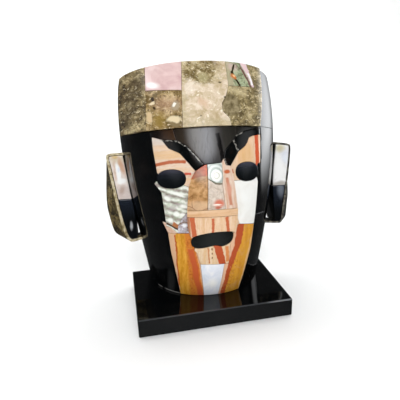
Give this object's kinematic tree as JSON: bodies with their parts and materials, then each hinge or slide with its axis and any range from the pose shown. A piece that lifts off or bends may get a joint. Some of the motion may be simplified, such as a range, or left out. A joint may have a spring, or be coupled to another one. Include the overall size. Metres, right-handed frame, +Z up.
{
  "type": "inlaid death mask on stand",
  "caption": "Decorative death mask faced with a mosaic of stone and shell, with square ears and a headband, on a plain rectangular stand.",
  "frame": {"origin": "centre of the stand's underside", "axes": "+Z up, -Y the way the face looks, +X to the right of someone looking at the face"},
  "size_m": [0.1662, 0.1216, 0.1936],
  "materials": {
    "black_stone": "polished black volcanic stone",
    "black_cast": "black casting, polished outside and duller inside",
    "brown_stone": "polished dark brown stone",
    "olive_stone": "polished mottled olive and brown stone",
    "cream_stone": "polished cream stone with brown patches",
    "tan_stone": "polished tan and ochre stone",
    "pink_stone": "polished pale pinkish stone",
    "peach_onyx": "polished peach onyx with red stripes",
    "orange_onyx": "polished orange onyx with red bands",
    "pink_shell": "polished pink mother of pearl",
    "pearl": "polished white mother of pearl",
    "abalone": "polished abalone shell, green, white and pink"
  },
  "bodies": {
    "root": {"stand": "black_stone", "mask_core": "black_cast", "left_strip_upper": "black_stone", "left_strip_lower": "black_stone", "right_strip_upper": "black_stone", "right_strip_lower": "black_stone", "forehead_side_stone": "brown_stone", "forehead_stone": "black_stone", "left_brow_outer": "black_stone", "left_brow_inner": "black_stone", "right_brow_inner": "black_stone", "right_brow_outer": "black_stone", "left_temple_onyx": "peach_onyx", "right_temple_onyx": "peach_onyx", "left_cheek_abalone": "abalone", "left_cheek_shard": "abalone", "left_cheek_strip": "pink_shell", "right_cheek_pearl": "pearl", "right_cheek_wedge": "tan_stone", "left_jaw_onyx": "orange_onyx", "right_jaw_onyx": "orange_onyx", "chin_onyx": "peach_onyx", "chin_pearl": "pearl", "nose_left_flank": "tan_stone", "nose_bridge_abalone": "abalone", "nose_front_stone": "pink_stone", "nose_right_flank": "peach_onyx", "nose_tip_band": "tan_stone", "upper_lip_onyx": "peach_onyx", "headband_left_stone": "olive_stone", "headband_pink_shell": "pink_shell", "headband_brown_stone": "olive_stone", "headband_centre_stone": "cream_stone", "headband_abalone": "abalone", "headband_right_stone": "olive_stone", "left_ear_rim": "olive_stone", "left_ear_shell": "pearl", "left_ear_black": "black_stone", "right_ear_rim": "olive_stone", "right_ear_shell": "pearl", "right_ear_black": "black_stone", "left_eye_stone": "black_stone", "right_eye_stone": "black_stone", "mouth_stone": "black_stone"}
  },
  "joints": []
}
